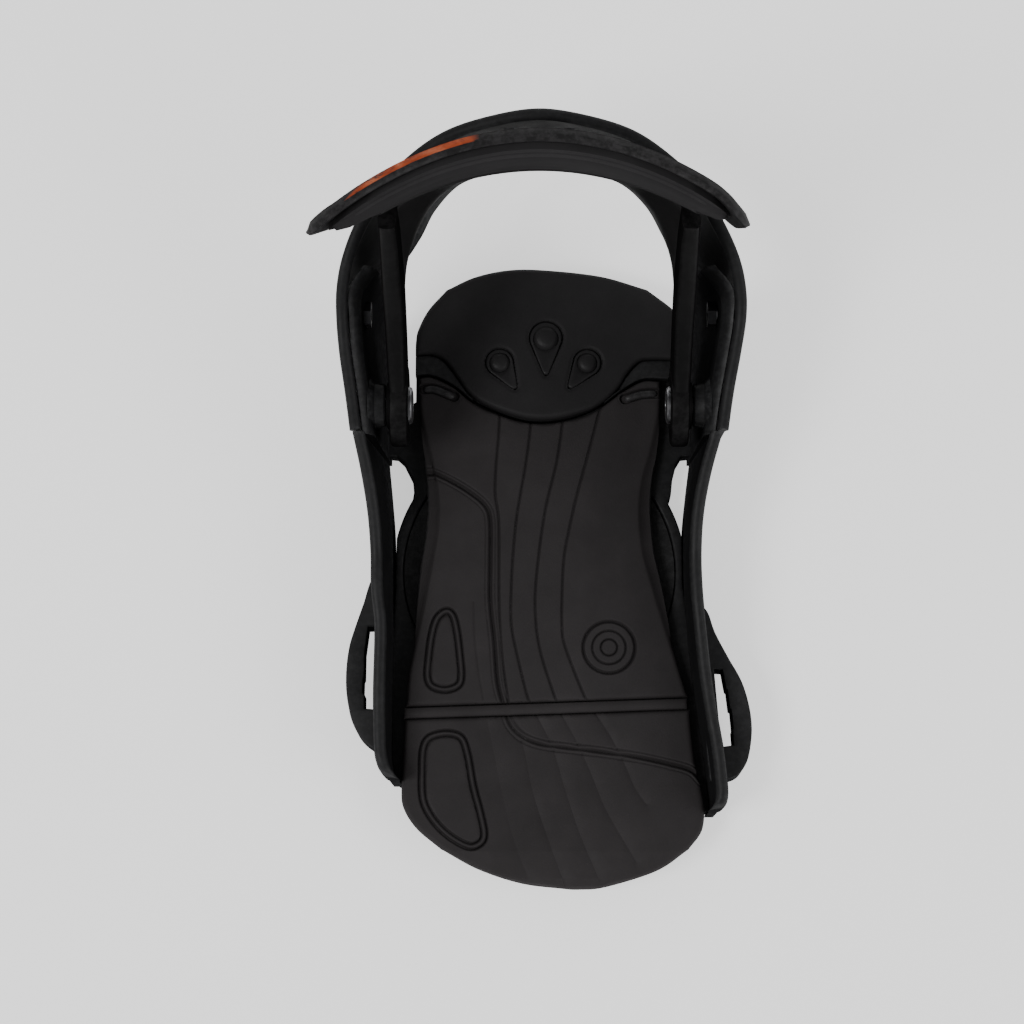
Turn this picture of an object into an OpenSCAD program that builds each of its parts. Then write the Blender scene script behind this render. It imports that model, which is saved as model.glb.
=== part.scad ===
// Snowboard binding for the right foot, drawn without straps. Millimetres.
// Origin: centre of the mounting disc on the underside. +Z up, +Y to the heel.

/* [Base] */
// Thickness of the floor round the mounting disc
floor_t = 10; // [9:0.5:11]
// Wall thickness of the side rails
rail_t = 4.2; // [3.5:0.1:5]
// Width of the toe strap slots
slot_w = 6; // [5:0.25:7]
// Length of the toe strap slots
slot_len = 32; // [26:1:34]

/* [Mounting disc] */
// Radius of the disc's flange
disc_r = 52; // [50:0.5:53]
// Radius of the hub that fills the base's opening
hub_r = 46.2; // [44:0.1:47]
// Thickness of the disc
disc_t = 8.5; // [7:0.5:9]
// Side of the square the four board screws stand on
screw_pitch = 40; // [40:1:40]
// Radius of each board screw's hole
screw_hole_r = 3.2; // [3:0.1:3.5]

/* [Footbed] */
// Foam thickness of the footbed
foam_t = 3.6; // [3:0.2:4]
// Height of the footbed's upper face at the fold
fold_z = 16.5; // [16:0.1:17]
// Position of the fold across the footbed
fold_y = -51.7; // [-53:0.1:-50]

/* [Highback] */
// Height of the highback's crown
crown_z = 250; // [240:1:255]
// Thickness of the highback's shell
shell_t = 4.5; // [4:0.1:5]
// Thickness of the highback's foam pad
back_pad_t = 5; // [3:0.5:6]
// Backward lean of the highback's spine, as a slope
lean = 0.257; // [0.22:0.001:0.28]

/* [Fasteners] */
// Shank radius of the highback's pivot bolts
pivot_r = 2.95; // [2.5:0.05:3]
// Shank radius of the heel hoop's bolts
hoop_bolt_r = 2.45; // [2:0.05:2.5]

/* [Hidden] */
$fn = 64;
black = [0.07, 0.07, 0.075];
foam = [0.16, 0.15, 0.155];
steel = [0.6, 0.6, 0.62];
gel = [0.1, 0.1, 0.105];
tray_z = 11;
foam_z = fold_z - foam_t;
pivot = [56, 50];
hoop_bolt = [88, 62];
leg_in = 49;
leg_out = 57;
lean_deg = atan(lean);
back_foot_z = 112;
// The lean lever's pin, measured out from the highback's back and up from its foot
lever_y = 7.3;
lever_z = 20;
lever_pin_r = 0.9;
fold_turn = 2;

// ---- Outlines, seen from above ----

main_outline = [
    [-50.5, -53.1], [-47.3, -29], [-44, -12], [-41.3, 3], [-39.4, 15], [-39.2, 27],
    [-41, 39], [-44, 51], [-46.2, 62], [-46.6, 75.3], [-41.5, 75.3], [-33.4, 71.3],
    [-27, 66], [-20.6, 62.4], [-9, 58.2], [1, 56.9], [11.5, 58.2], [21, 61.4],
    [28.4, 66.6], [32, 69.3], [40.1, 73.7], [46.6, 73.7], [46.6, 62], [45.4, 54],
    [43, 44], [40.4, 35], [39, 23], [40, 8], [43, -4], [47.6, -20], [52, -35],
    [56.2, -49.4]];

toe_outline = [
    [-50.9, -58], [-51.2, -62], [-51.5, -70], [-52, -85], [-51, -92], [-46, -99.5],
    [-37, -107], [-23, -114.5], [-7, -119.7], [8, -121.6], [15, -122], [25, -121],
    [44, -115], [56, -107], [61, -100], [62, -91], [61, -84], [59, -76], [57.5, -62],
    [57, -54.2]];

heel_outline = [
    [-48, 84], [-41.6, 84.3], [-36.5, 81.5], [-31.8, 75.3], [-27.5, 69.3], [-21, 64.4],
    [-9, 59.8], [1.1, 58.4], [11.5, 59.8], [21.9, 63.4], [30, 70.1], [34.3, 76.7],
    [39, 81.4], [44, 82.2], [54, 82], [56, 88], [55, 96], [52, 102], [42, 110],
    [24, 115.4], [2, 118], [-12, 118], [-25, 115.2], [-36, 110], [-43, 102], [-47, 94]];

// The moulded step that shows between the heel pad and the footbed
step_left = [
    [-48, 76.2], [-41.5, 76.2], [-33.2, 72.2], [-25.4, 65.6], [-27.9, 68.9],
    [-32.2, 75], [-36.9, 81.1], [-41.8, 83.7], [-48, 83.6]];
step_right = [
    [24.5, 64.2], [32, 70.2], [40, 74.6], [50, 74.6], [53, 81.6], [44, 81.8],
    [39.2, 81], [34.7, 76.4], [30.4, 69.7]];

floor_front = [
    [-57, -78], [-53, -82.5], [-20, -85], [30, -92], [62, -93], [66, -88], [66, -80],
    [63, -60], [60, -40], [57, -20], [55, -5], [55, 12], [-55, 12], [-55.5, -12],
    [-57, -40]];
floor_heel = [
    [-36, 30], [-47, 28], [-49, 36], [-52.5, 44], [-60.5, 46], [-60.5, 60], [-48, 66],
    [-48, 84], [-47, 94], [-43, 102], [-36, 110], [-25, 115.2], [-12, 118], [2, 118], [24, 115.4], [42, 110],
    [52, 102], [55, 96], [56, 88], [54, 80], [52, 66], [60.5, 60], [60.5, 46],
    [53, 44], [51.5, 36], [51, 28], [36, 30]];
plateau = [
    [-47, 60], [-48, 84], [-47, 94], [-43, 102], [-36, 110], [-25, 115.2], [-12, 118],
    [2, 118], [24, 115.4], [42, 110], [52, 102], [55, 96], [56, 88], [54, 80],
    [51, 60], [46.8, 76], [40, 75.6], [31, 71.2], [21, 63.3], [11.5, 59.7],
    [1, 58.3], [-9, 59.7], [-20.8, 64.3], [-33, 73], [-41.5, 77.2], [-47.4, 77.2]];

ear_left = [
    [-58, -3], [-63.6, -5], [-66.8, -14.5], [-70, -24], [-72, -31], [-73, -39], [-73, -47],
    [-72, -54], [-70.4, -60], [-67, -66], [-62, -70], [-58, -71]];
ear_right = [
    [58, -14], [63.4, -17], [66.6, -25.6], [71.4, -35], [76.3, -44], [79, -53],
    [80, -62], [79, -71], [77, -76.5], [73, -80.5], [64, -82]];

// ---- Side profiles: y, outer x at the top, top z, outer x at the floor ----

rail_left = [
    [-82, 56.8, 31, 56.6], [-80.5, 58.4, 33, 57], [-77, 60.3, 34.4, 58], [-70, 61.6, 35.2, 58.6],
    [-50, 62, 37, 58.6], [-26, 61.6, 39, 58.8], [-12, 63, 41, 59], [2, 63.2, 42.6, 59.2],
    [16, 64.2, 47.6, 59.6], [30, 66.4, 54, 60.8], [44, 69.4, 60, 62.2]];
rail_right = [
    [-93.6, 67.6, 30.5, 67], [-92.4, 69, 33, 67], [-89, 70, 34, 66.8], [-84, 70, 34.4, 66],
    [-71, 69, 34.8, 64.6], [-57, 67, 35.6, 63], [-42, 65, 37, 61.4], [-27, 64.6, 39, 60.2],
    [-12, 61.2, 41, 59], [2, 60.6, 42.6, 58.8], [16, 61.4, 47.6, 59], [30, 64, 54, 60.4],
    [44, 68, 60, 62.2]];
// Arms of the hoop: y, outer x at the top, top z, outer x at the floor, lower z
arm_left = [
    [44.6, 69.9, 60.2, 65.9, 44.6], [58, 71.6, 65.5, 65.9, 41], [72, 73.6, 71, 65.3, 42],
    [84, 74.5, 75.5, 64.3, 45], [94, 74.2, 80, 63.3, 49]];
arm_right = [
    [44.6, 69.7, 60.2, 65.9, 44.6], [58, 71.6, 65.5, 65.9, 41], [72, 74.2, 71, 65.3, 42],
    [84, 76, 75.5, 64.3, 45], [94, 75.6, 80, 63.3, 49]];
// Last section of the base's wing inside the hoop
wing_tip = [102.4, 69, 82, 58.6];
// Back of the hoop, left to right: top x, y, z, then bottom x, y, z
hoop_back = [
    [-72, 104, 85, -66, 103.5, 53], [-67.5, 115.5, 89, -54.5, 112, 50.5],
    [-60, 127, 92, -47.5, 122, 50], [-47.5, 139.3, 95, -41.5, 133.8, 50],
    [-33.8, 147.6, 98.5, -31.5, 144.6, 50], [-17, 151.9, 102.5, -17.5, 149.4, 50],
    [0, 154, 104, 0, 151.6, 50], [17, 151.9, 102.7, 17.5, 149.4, 50],
    [33.5, 147.6, 99.5, 32, 145, 50], [46.5, 140.3, 95.5, 42.5, 135.2, 50],
    [58.5, 129.5, 92.5, 49, 123.2, 50], [67.5, 116, 89, 54.5, 111.5, 50.5],
    [73, 104, 85, 67, 103.5, 53]];

// ---- Helpers ----

function unit(v) = v / norm(v);
// Distance from the centre plane to the face a hoop bolt's head sits on
function hoop_seat(s) = s > 0 ? 72.4 : 71.2;
function rev(list) = [for (i = [len(list) - 1:-1:0]) list[i]];

// A solid through equal rings of points, closed at both ends
module loft(rings) {
    n = len(rings[0]);
    m = len(rings);
    points = [for (ring = rings) for (p = ring) p];
    walls = [for (i = [0:m - 2]) for (j = [0:n - 1]) for (half = [0, 1])
        let (a = i * n + j, b = i * n + (j + 1) % n, c = b + n, d = a + n)
        half == 0 ? [a, b, c] : [a, c, d]];
    ends = [for (j = [1:n - 2]) for (end = [0, 1])
        end == 0 ? [0, j + 1, j] : [(m - 1) * n, (m - 1) * n + j, (m - 1) * n + j + 1]];
    polyhedron(points, concat(walls, ends), convexity = 8);
}

// A curved plate between two equal grids of points: front faces -Y, back faces +Y
module plate(front, back) {
    ni = len(front);
    nj = len(front[0]);
    points = concat([for (c = front) for (p = c) p], [for (c = back) for (p = c) p]);
    function f(i, j) = i * nj + j;
    function b(i, j) = ni * nj + i * nj + j;
    function two(p, q, r, s) = [[p, q, r], [p, r, s]];
    faces = concat(
        [for (i = [0:ni - 2]) for (j = [0:nj - 2])
            each two(f(i, j), f(i, j + 1), f(i + 1, j + 1), f(i + 1, j))],
        [for (i = [0:ni - 2]) for (j = [0:nj - 2])
            each two(b(i, j), b(i + 1, j), b(i + 1, j + 1), b(i, j + 1))],
        [for (i = [0:ni - 2]) each two(f(i, 0), f(i + 1, 0), b(i + 1, 0), b(i, 0))],
        [for (i = [0:ni - 2]) each two(f(i + 1, nj - 1), f(i, nj - 1), b(i, nj - 1),
                                       b(i + 1, nj - 1))],
        [for (j = [0:nj - 2]) each two(f(0, j + 1), f(0, j), b(0, j), b(0, j + 1))],
        [for (j = [0:nj - 2]) each two(f(ni - 1, j), f(ni - 1, j + 1), b(ni - 1, j + 1),
                                       b(ni - 1, j))]);
    polyhedron(points, faces, convexity = 8);
}

// Wall section across x: from the floor line up to a rounded top
function wall_ring(s, y, top_x, top_z, foot_x, low_z, t) =
    let (slope = (top_x - foot_x) / top_z,
         ring = [[s * (foot_x + slope * low_z), y, low_z],
                 [s * (top_x - slope * 1.8), y, top_z - 1.8],
                 [s * (top_x - 0.7), y, top_z - 0.5],
                 [s * (top_x - t / 2), y, top_z],
                 [s * (top_x - t + 0.7), y, top_z - 0.5],
                 [s * (top_x - t - slope * 1.8), y, top_z - 1.8],
                 [s * (foot_x + slope * low_z - t), y, low_z]])
    s > 0 ? ring : rev(ring);

module rail(s, profile, arm) {
    loft(concat(
        [for (p = profile) wall_ring(s, p[0], p[1], p[2], p[3], 0, rail_t)],
        [for (a = concat(arm, [wing_tip])) let (low = a[0] < 85 ? 0 : (a[0] - 85) * 1.3)
            wall_ring(s, a[0] - 0.4, a[1] - 3.9, a[2] - 2.6, a[3] - 4.2, low, rail_t)]));
}

module along_x(s, from, to, r, at) {
    translate([s * from, at[0], at[1]]) rotate([0, s * 90, 0]) cylinder(r = r, h = to - from);
}

module slot(x, y, turn) {
    translate([x, y, 0]) rotate([0, 0, turn]) {
        translate([-slot_w / 2, -slot_len / 2, 5]) cube([slot_w, slot_len, 22]);
    }
}

module slab(outline, z, h) {
    translate([0, 0, z]) linear_extrude(h) polygon(outline);
}

// ---- Parts ----

module base_plate() {
    color(black) difference() {
        union() {
            slab(floor_front, 0, floor_t);
            cylinder(r = 56.5, h = floor_t);
            slab(floor_heel, 0, floor_t);
            slab(plateau, floor_t - 1, 5);
            slab(step_left, floor_t, 6.6);
            slab(step_right, floor_t, 6.6);
            rail(-1, rail_left, arm_left);
            rail(1, rail_right, arm_right);
            slab(ear_left, 8, 14);
            slab(ear_right, 8, 14);
            for (s = [-1, 1]) along_x(s, 57.4, 64, 11, pivot);
        }
        translate([0, 0, -1]) cylinder(r = hub_r + 0.1, h = 20);
        translate([0, 0, 4]) cylinder(r = disc_r + 0.4, h = 20);
        slot(-63.2, -39, -1.8);
        slot(69.3, -54, 7.6);
        for (s = [-1, 1]) {
            along_x(s, 50, 80, 4.05, pivot);
            along_x(s, 50, 80, hoop_bolt_r + 0.1, hoop_bolt);
            along_x(s, 50, 65.8, 6.2, hoop_bolt);
        }
    }
}

module mounting_disc() {
    q = screw_pitch / 2;
    color(black) difference() {
        union() {
            cylinder(r = hub_r, h = 5);
            translate([0, 0, 4.3]) cylinder(r = disc_r, h = disc_t - 4.3);
        }
        for (x = [-q, q]) for (y = [-q, q]) translate([x, y, -1]) {
            cylinder(r = screw_hole_r, h = 20);
            translate([0, 0, 5.5]) cylinder(r = 6.6, h = 20);
        }
        translate([0, 0, 6.6]) cylinder(r = 7, h = 10);
    }
}

module toe_ramp() {
    inner = [for (p = toe_outline) [p[0] * 0.975, p[1] < -60 ? p[1] * 0.985 : p[1]]];
    color(black) intersection() {
        slab(inner, 0, 30);
        translate([-90, 0, 0]) rotate([90, 0, 90]) linear_extrude(180)
            polygon([[-50, floor_t], [-94.6, floor_t], [-95, 2.5], [-116, 4.5], [-122, 9],
                     [-122, 14.4], [-108, 15.6], [-82, foam_z + 0.5], [-62, foam_z],
                     [-50, foam_z]]);
    }
}

module toe_pad() {
    color(foam) intersection() {
        slab(toe_outline, 0, 30);
        translate([-90, 0, 0]) rotate([90, 0, 90]) linear_extrude(180)
            polygon([[-50, foam_z], [-62, foam_z], [-82, foam_z + 0.5], [-108, 15.6],
                     [-123, 14.4], [-123, 16.4], [-118, 18.4], [-108, 19.2], [-82, 17.2],
                     [-62, fold_z], [-50, fold_z]]);
    }
}

module crease_strip() {
    color(gel) translate([0, fold_y, 0]) rotate([0, 0, fold_turn])
        translate([-51.5, -4.2, floor_t]) cube([107.6, 4, fold_z - floor_t - 0.1]);
}

module footbed_tray() {
    wide = [for (p = main_outline) [p[0] * (abs(p[1] - 15) < 45 ? 1.04 : 1), p[1]]];
    color(black) slab(wide, tray_z, foam_z - tray_z);
}

module footbed_pad() {
    color(foam) difference() {
        slab(main_outline, foam_z, foam_t);
        translate([-44.8, 67.8, foam_z + 1.8]) rotate([0, 0, -15]) cube([13, 2.6, 6]);
        translate([32, 65.6, foam_z + 1.8]) rotate([0, 0, 5]) cube([13, 2.8, 6]);
        translate([26.5, -30.4, fold_z - 0.6]) difference() {
            cylinder(r = 10.4, h = 2);
            translate([0, 0, -1]) cylinder(r = 9.4, h = 4);
        }
    }
}

module drop(l, r, z, h) {
    // Round at the origin, pointed towards -Y
    slab(concat([for (a = [-20:20:200]) [r * cos(a), r * sin(a)]], [[-1.2, -l], [1.2, -l]]), z, h);
}

module heel_drops(grow, z, h, which) {
    if (which != "sides") translate([2.6, 90.6, 0]) drop(14.6 + grow, 6.2 + grow, z, h);
    if (which == "left" || which == "all")
        translate([-15.4, 80.8, 0]) rotate([0, 0, 31]) drop(12 + grow, 5.2 + grow, z, h);
    if (which == "right" || which == "all")
        translate([18.6, 80.6, 0]) rotate([0, 0, -35]) drop(12 + grow, 5.2 + grow, z, h);
}

module heel_pad() {
    color(foam) difference() {
        slab(heel_outline, 14, 4.2);
        heel_drops(0.25, 15.8, 6, "all");
    }
}

module gel_button(x, y, r) {
    translate([x, y, 17]) cylinder(r1 = r, r2 = r - 0.8, h = 1.9);
}

module heel_gel_centre() {
    color(gel) {
        translate([2.6, 90.6, 0]) drop(14.6, 6.2, 15.8, 2);
        gel_button(2.6, 90.6, 4.6);
    }
}

module heel_gel_left() {
    color(gel) {
        translate([-15.4, 80.8, 0]) rotate([0, 0, 31]) drop(12, 5.2, 15.8, 2);
        gel_button(-15.4, 80.8, 3.7);
    }
}

module heel_gel_right() {
    color(gel) {
        translate([18.6, 80.6, 0]) rotate([0, 0, -35]) drop(12, 5.2, 15.8, 2);
        gel_button(18.6, 80.6, 3.7);
    }
}

function back_ring(i) =
    let (p = hoop_back[i],
         a = hoop_back[max(i - 1, 0)], b = hoop_back[min(i + 1, len(hoop_back) - 1)],
         side = unit([b[1] - a[1], -(b[0] - a[0])]),
         low_side = unit([b[4] - a[4], -(b[3] - a[3])]),
         t = abs(p[0]) > 70 ? 3.1 : 3.8)
    rev([[p[3], p[4], p[5]], [p[0], p[1], p[2] - 1.8],
         [p[0] + side[0] * 0.7, p[1] + side[1] * 0.7, p[2] - 0.5],
         [p[0] + side[0] * t / 2, p[1] + side[1] * t / 2, p[2]],
         [p[0] + side[0] * (t - 0.7), p[1] + side[1] * (t - 0.7), p[2] - 0.5],
         [p[0] + side[0] * t, p[1] + side[1] * t, p[2] - 1.8],
         [p[3] + low_side[0] * t, p[4] + low_side[1] * t, p[5]]]);

module heel_hoop() {
    color(black) difference() {
        loft(concat(
            [for (a = arm_left) wall_ring(-1, a[0], a[1], a[2], a[3], a[4], 3)],
            [for (i = [0:len(hoop_back) - 1]) back_ring(i)],
            [for (a = rev(arm_right)) rev(wall_ring(1, a[0], a[1], a[2], a[3], a[4], 3))]));
        for (s = [-1, 1]) {
            along_x(s, 60, 90, 4.05, pivot);
            along_x(s, 69.4, 90, 7.4, pivot);
            along_x(s, 60, 90, hoop_bolt_r + 0.1, hoop_bolt);
            along_x(s, hoop_seat(s), 90, 6, hoop_bolt);
        }
    }
}

// Highback: spine line, curve across, half widths and edges
function spine(z) = 128 - (z - back_foot_z) * lean;
function bow(z) = 0.005 + (z - back_foot_z) / 138 * 0.0009;
function half_left(z) = lookup(z, [[100, 55.8], [120, 57], [140, 60.4], [170, 66], [200, 70.6],
                                   [225, 72.8], [238, 73.4], [251, 73.4]]);
function half_right(z) = lookup(z, [[100, 55.8], [120, 57], [140, 60], [170, 64], [200, 66],
                                    [225, 66.5], [238, 66], [251, 65.4]]);
function edge_high(u) = crown_z + lookup(u, [[-1, -18], [-0.97, -12], [-0.9, -7], [-0.78, -3],
    [-0.5, -0.8], [0, 0], [0.5, -0.6], [0.8, -3.4], [0.91, -8], [0.97, -15], [1, -23]]);
function edge_low(u) = lookup(abs(u), [[0, 112], [0.5, 110.5], [0.7, 109], [1, 109]]);
function back_point(u, z, depth) =
    let (x = u < 0 ? u * half_left(z) : u * half_right(z))
    [x, spine(z) - bow(z) * x * x + depth, z];

columns = [for (i = [-12:12]) i / 12];
function back_grid(low, high, inset, depth, rows) =
    [for (u = columns) [for (j = [0:rows])
        let (a = max(edge_low(u), low), b = edge_high(u) - high)
        back_point(u * inset, a + (b - a) * j / rows, depth)]];

module leg(s) {
    translate([s > 0 ? leg_in : -leg_out, 0, 0]) rotate([90, 0, 90])
        linear_extrude(leg_out - leg_in)
            polygon([[47.5, 62.5], [60, 66], [71, 73], [82, 87], [93, 106], [101, 122],
                     [108, 127], [116, 122], [117, 112], [112, 98], [102, 82], [90, 65],
                     [80, 52], [69, 41.5]]);
    along_x(s, leg_in, leg_out, 15.5, pivot);
}

module at_spine() {
    translate([0, spine(back_foot_z) + shell_t, back_foot_z]) rotate([lean_deg, 0, 0]) children();
}

module highback_shell() {
    color(black) difference() {
        union() {
            plate(back_grid(0, 0, 1, 0, 14), back_grid(0, 0, 1, shell_t, 14));
            leg(-1);
            leg(1);
            at_spine() {
                translate([-5, -1.5, 3]) cube([10, 4, 62]);
                translate([-8, 2, 3]) cube([16, 2, 62]);
            }
        }
        for (s = [-1, 1]) along_x(s, 40, 70, pivot_r + 0.05, pivot);
    }
}

module highback_pad() {
    color(foam) plate(back_grid(140, 5, 0.91, -back_pad_t - 0.1, 12),
                      back_grid(140, 5, 0.91, -0.1, 12));
}

module pivot_bolt(s) {
    color(steel) {
        along_x(s, leg_in - 1.7, leg_in - 0.05, 7, pivot);
        along_x(s, leg_in - 0.5, 66, pivot_r, pivot);
    }
}

module pivot_nut(s) {
    color(steel) difference() {
        union() {
            along_x(s, 57.7, 70, 4, pivot);
            along_x(s, 69.45, 71, 7, pivot);
        }
        along_x(s, 50, 66.5, pivot_r + 0.05, pivot);
    }
}

module hoop_bolt(s) {
    color(steel) {
        along_x(s, hoop_seat(s), hoop_seat(s) + 1.7, 5.6, hoop_bolt);
        along_x(s, 63, hoop_seat(s) + 0.4, hoop_bolt_r, hoop_bolt);
    }
}

module hoop_nut(s) {
    color(steel) difference() {
        translate([s * 62.6, hoop_bolt[0], hoop_bolt[1]]) rotate([0, s * 90, 0])
            cylinder(r = 5, h = 3.15, $fn = 6);
        along_x(s, 50, 80, hoop_bolt_r + 0.05, hoop_bolt);
    }
}

module pivot_bolt_left() { pivot_bolt(-1); }
module pivot_bolt_right() { pivot_bolt(1); }
module pivot_nut_left() { pivot_nut(-1); }
module pivot_nut_right() { pivot_nut(1); }
module hoop_bolt_left() { hoop_bolt(-1); }
module hoop_bolt_right() { hoop_bolt(1); }
module hoop_nut_left() { hoop_nut(-1); }
module hoop_nut_right() { hoop_nut(1); }

module lean_pivot_bore(r) {
    translate([-20, lever_y, lever_z]) rotate([0, 90, 0]) cylinder(r = r, h = 40);
}

module lean_block() {
    color(black) at_spine() difference() {
        union() {
            translate([-13, 0.4, 2]) cube([26, 7.2, 27]);
            // Foot that bears on the inner face of the hoop
            translate([-11, 3, -28]) cube([22, 4.2, 32]);
            for (x = [-12.4, 8.8]) translate([x, 5, lever_z - 3]) cube([3.6, 4, 6]);
        }
        translate([-5.35, -1, -30]) cube([10.7, 4, 70]);
        translate([-8.35, 1.65, -30]) cube([16.7, 2.7, 70]);
        translate([-8.8, 5.55, 4]) cube([17.6, 8, 19]);
        lean_pivot_bore(lever_pin_r + 0.05);
    }
}

module lean_lever() {
    color(black) at_spine() difference() {
        union() {
            translate([-8.4, 5.9, 5]) cube([16.8, 2.2, lever_z - 5]);
            translate([-8.4, lever_y, lever_z]) rotate([0, 90, 0]) cylinder(r = 1.6, h = 16.8);
        }
        lean_pivot_bore(lever_pin_r + 0.05);
    }
}

module lever_pin() {
    color(steel) at_spine() translate([-12.4, lever_y, lever_z]) rotate([0, 90, 0])
        cylinder(r = lever_pin_r, h = 24.8);
}

base_plate();
mounting_disc();
toe_ramp();
toe_pad();
crease_strip();
footbed_tray();
footbed_pad();
heel_pad();
heel_gel_centre();
heel_gel_left();
heel_gel_right();
heel_hoop();
highback_shell();
highback_pad();
pivot_bolt_left();
pivot_bolt_right();
pivot_nut_left();
pivot_nut_right();
hoop_bolt_left();
hoop_bolt_right();
hoop_nut_left();
hoop_nut_right();
lean_block();
lean_lever();
lever_pin();
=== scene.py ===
import math

import bmesh
import bpy
import numpy as np
from mathutils import Matrix, Vector


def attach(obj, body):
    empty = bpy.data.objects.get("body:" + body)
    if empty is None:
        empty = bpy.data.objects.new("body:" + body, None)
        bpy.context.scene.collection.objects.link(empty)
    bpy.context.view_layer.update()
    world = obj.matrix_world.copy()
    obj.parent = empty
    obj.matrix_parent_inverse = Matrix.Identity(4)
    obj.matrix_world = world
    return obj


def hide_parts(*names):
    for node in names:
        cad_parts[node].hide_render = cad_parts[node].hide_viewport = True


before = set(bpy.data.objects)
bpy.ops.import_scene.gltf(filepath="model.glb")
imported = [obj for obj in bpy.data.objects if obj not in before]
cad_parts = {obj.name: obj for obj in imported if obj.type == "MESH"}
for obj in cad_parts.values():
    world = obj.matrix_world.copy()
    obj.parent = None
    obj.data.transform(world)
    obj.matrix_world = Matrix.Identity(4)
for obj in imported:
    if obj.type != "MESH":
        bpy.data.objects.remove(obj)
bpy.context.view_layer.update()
norm = np.linalg.norm
MM = 0.001                     # every outline and table below is in millimetres
WELD, SLIVER = 2e-6, 1e-6      # metres
SOFT_EDGE, ROUND_EDGE = 30, 60  # degrees below which an edge shades smooth


# ---- shape helpers

def link(obj):
    bpy.context.scene.collection.objects.link(obj)


def smooth(points, count, closed=False):
    """A smooth curve through the points, resampled evenly."""
    p = np.asarray(points, float)
    p = np.vstack([p[-1], p, p[0], p[1]]) if closed else np.vstack(
        [2 * p[0] - p[1], p, 2 * p[-1] - p[-2]])
    fine = []
    for i in range(1, len(p) - 2):
        a, b, c, d = p[i - 1], p[i], p[i + 1], p[i + 2]
        t = np.linspace(0, 1, 20, endpoint=False)[:, None]
        fine.append(0.5 * (2 * b + (c - a) * t + (2 * a - 5 * b + 4 * c - d) * t ** 2
                           + (3 * b - a - 3 * c + d) * t ** 3))
    fine = np.vstack(fine + [p[-2][None]])
    s = np.r_[0, np.cumsum(norm(np.diff(fine, axis=0), axis=1))]
    u = np.linspace(0, s[-1], count + 1 if closed else count)
    out = np.stack([np.interp(u, s, fine[:, k]) for k in range(fine.shape[1])], 1)
    return out[:-1] if closed else out


def straight(points, count):
    """A polyline through the points, resampled evenly."""
    p = np.asarray(points, float)
    s = np.r_[0, np.cumsum(norm(np.diff(p, axis=0), axis=1))]
    u = np.linspace(0, s[-1], count)
    return np.stack([np.interp(u, s, p[:, k]) for k in range(p.shape[1])], 1)


def distance(points, line, closed=False):
    """Each point's distance to a polyline."""
    line = np.vstack([line, line[:1]]) if closed else line
    d = np.full(len(points), 1e9)
    for a, b in zip(line[:-1], line[1:]):
        ab = b - a
        t = np.clip(((points - a) @ ab) / max(ab @ ab, 1e-9), 0, 1)
        d = np.minimum(d, norm(points - a - t[:, None] * ab, axis=1))
    return d


def inside(points, ring):
    """Which points lie inside a closed outline."""
    hit = np.zeros(len(points), bool)
    x, y = points[:, 0], points[:, 1]
    for a, b in zip(ring, np.roll(ring, -1, axis=0)):
        cross = (a[1] > y) != (b[1] > y)
        with np.errstate(divide="ignore", invalid="ignore"):
            at = (b[0] - a[0]) * (y - a[1]) / (b[1] - a[1]) + a[0]
        hit ^= cross & (x < at)
    return hit


def ease(t):
    t = np.clip(t, 0, 1)
    return t * t * (3 - 2 * t)


def cleaned(mesh, slivers=False):
    """Weld double points and turn the faces outwards."""
    bm = bmesh.new()
    bm.from_mesh(mesh)
    bmesh.ops.remove_doubles(bm, verts=bm.verts, dist=WELD)
    if slivers:
        bmesh.ops.dissolve_degenerate(bm, edges=bm.edges, dist=SLIVER)
    bmesh.ops.recalc_face_normals(bm, faces=bm.faces)
    bm.to_mesh(mesh)
    bm.free()
    return mesh


def add_mesh(name, verts, faces, material, body, slot, nodes=(), sharp=38, marks=None):
    """Millimetre vertices to a finished piece that rides on a body."""
    mesh = bpy.data.meshes.new(name)
    mesh.from_pydata((np.asarray(verts, float) * MM).tolist(), [], [list(f) for f in faces])
    if marks is not None:
        mesh.attributes.new("mark", "FLOAT", "POINT").data.foreach_set(
            "value", np.asarray(marks, np.float32))
    return place(name, cleaned(mesh), material, body, nodes, sharp)


def place(name, mesh, material, body, nodes, sharp):
    """Link a finished mesh, and say what it rides on and stands for."""
    mesh.polygons.foreach_set("use_smooth", [True] * len(mesh.polygons))
    mesh.set_sharp_from_angle(angle=math.radians(sharp))
    mesh.materials.clear()
    mesh.materials.append(material)
    piece = bpy.data.objects.new(name, mesh)
    link(piece)
    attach(piece, body)
    if nodes:
        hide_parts(*nodes)
    return piece


def loft_faces(rows, ring):
    """Faces between rows of closed rings, with a cap at each end."""
    faces = []
    for i in range(rows - 1):
        for j in range(ring):
            n = (j + 1) % ring
            faces.append((i * ring + j, i * ring + n, (i + 1) * ring + n, (i + 1) * ring + j))
    faces.append(tuple(range(ring)))
    faces.append(tuple((rows - 1) * ring + j for j in range(ring)))
    return faces


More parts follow.
